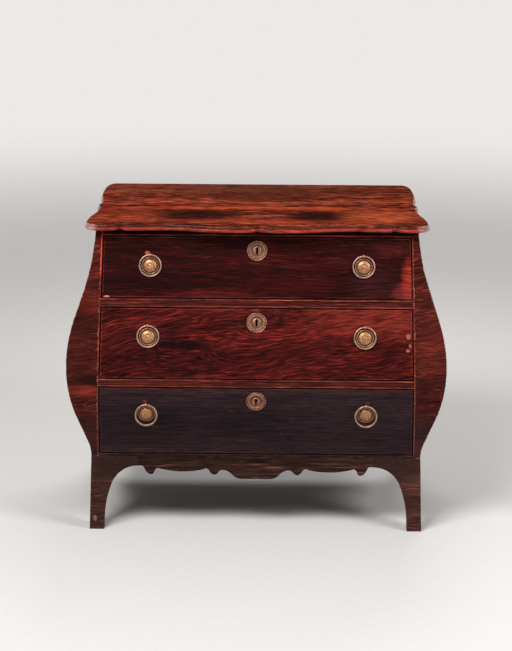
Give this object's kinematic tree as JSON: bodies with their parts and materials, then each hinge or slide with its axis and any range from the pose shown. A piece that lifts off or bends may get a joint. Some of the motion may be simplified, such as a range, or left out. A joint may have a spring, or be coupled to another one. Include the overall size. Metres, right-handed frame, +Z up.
{
  "type": "bombe chest",
  "caption": "Low bombe chest on bracket legs: drawers with ring pulls and locks slide in a case that swells at the front and sides.",
  "frame": {"origin": "on the floor, in the middle of the chest's bounding box", "axes": "+X to the right seen from the front, -Y to the front, +Z up"},
  "size_m": [0.946, 0.5893, 0.797],
  "materials": {
    "rosewood": "satin wax polish",
    "top_rosewood": "waxed, worn",
    "bead_wood": "satin wax polish",
    "oak": "unfinished, aged",
    "tarnished_brass": "tarnished",
    "iron": "dark, oiled"
  },
  "bodies": {
    "case": {"rail_beads": "bead_wood", "stile_beads": "bead_wood", "right_front_stile": "rosewood", "left_front_stile": "rosewood", "right_side_panel": "rosewood", "left_side_panel": "rosewood", "top_rail": "rosewood", "upper_rail": "rosewood", "lower_rail": "rosewood", "bottom_board": "oak", "drawer_runners": "oak", "drawer_guides": "oak", "drawer_stops": "oak", "top_cleats": "oak", "back_boards": "oak", "right_front_leg": "rosewood", "left_front_leg": "rosewood", "right_back_leg": "rosewood", "left_back_leg": "rosewood", "front_apron": "rosewood", "right_side_apron": "rosewood", "left_side_apron": "rosewood", "back_apron": "oak", "glue_blocks": "oak", "top_board": "top_rosewood"},
    "upper_drawer": {"upper_drawer_front": "rosewood", "upper_drawer_sides": "oak", "upper_drawer_bottom": "oak", "upper_drawer_back": "oak", "upper_escutcheon": "tarnished_brass", "upper_lock_case": "iron", "upper_pull_plates": "tarnished_brass", "upper_pull_posts": "tarnished_brass"},
    "middle_drawer": {"middle_drawer_front": "rosewood", "middle_drawer_sides": "oak", "middle_drawer_bottom": "oak", "middle_drawer_back": "oak", "middle_escutcheon": "tarnished_brass", "middle_lock_case": "iron", "middle_pull_plates": "tarnished_brass", "middle_pull_posts": "tarnished_brass"},
    "lower_drawer": {"lower_drawer_front": "rosewood", "lower_drawer_sides": "oak", "lower_drawer_bottom": "oak", "lower_drawer_back": "oak", "lower_escutcheon": "tarnished_brass", "lower_lock_case": "iron", "lower_pull_plates": "tarnished_brass", "lower_pull_posts": "tarnished_brass"},
    "upper_lock_bolt": {"upper_lock_bolt": "iron"},
    "upper_right_ring": {"upper_right_ring": "tarnished_brass"},
    "upper_left_ring": {"upper_left_ring": "tarnished_brass"},
    "middle_lock_bolt": {"middle_lock_bolt": "iron"},
    "middle_right_ring": {"middle_right_ring": "tarnished_brass"},
    "middle_left_ring": {"middle_left_ring": "tarnished_brass"},
    "lower_lock_bolt": {"lower_lock_bolt": "iron"},
    "lower_right_ring": {"lower_right_ring": "tarnished_brass"},
    "lower_left_ring": {"lower_left_ring": "tarnished_brass"}
  },
  "joints": [
    {"name": "upper_drawer_slide", "type": "slide", "parent": "case", "child": "upper_drawer", "axis": [0, -1, 0], "range_m": [0, 0.32]},
    {"name": "upper_lock_throw", "type": "slide", "parent": "upper_drawer", "child": "upper_lock_bolt", "axis": [0, 0, 1], "range_m": [0, 0.007]},
    {"name": "upper_left_ring_swing", "type": "hinge", "parent": "upper_drawer", "child": "upper_left_ring", "pos_m": [-0.26435, -0.24699, 0.7173], "axis": [-1, 0, 0], "range_deg": [0, 156]},
    {"name": "upper_right_ring_swing", "type": "hinge", "parent": "upper_drawer", "child": "upper_right_ring", "pos_m": [0.26435, -0.24699, 0.7173], "axis": [-1, 0, 0], "range_deg": [0, 156]},
    {"name": "middle_drawer_slide", "type": "slide", "parent": "case", "child": "middle_drawer", "axis": [0, -1, 0], "range_m": [0, 0.32]},
    {"name": "middle_lock_throw", "type": "slide", "parent": "middle_drawer", "child": "middle_lock_bolt", "axis": [0, 0, 1], "range_m": [0, 0.007]},
    {"name": "middle_left_ring_swing", "type": "hinge", "parent": "middle_drawer", "child": "middle_left_ring", "pos_m": [-0.26917, -0.28438, 0.54552], "axis": [-1, 0, 0], "range_deg": [0, 156]},
    {"name": "middle_right_ring_swing", "type": "hinge", "parent": "middle_drawer", "child": "middle_right_ring", "pos_m": [0.26917, -0.28438, 0.54552], "axis": [-1, 0, 0], "range_deg": [0, 156]},
    {"name": "lower_drawer_slide", "type": "slide", "parent": "case", "child": "lower_drawer", "axis": [0, -1, 0], "range_m": [0, 0.32]},
    {"name": "lower_lock_throw", "type": "slide", "parent": "lower_drawer", "child": "lower_lock_bolt", "axis": [0, 0, 1], "range_m": [0, 0.007]},
    {"name": "lower_left_ring_swing", "type": "hinge", "parent": "lower_drawer", "child": "lower_left_ring", "pos_m": [-0.2748, -0.28788, 0.34267], "axis": [-1, 0, 0], "range_deg": [-19.6, 165]},
    {"name": "lower_right_ring_swing", "type": "hinge", "parent": "lower_drawer", "child": "lower_right_ring", "pos_m": [0.2748, -0.28788, 0.34267], "axis": [-1, 0, 0], "range_deg": [-19.6, 165]}
  ]
}
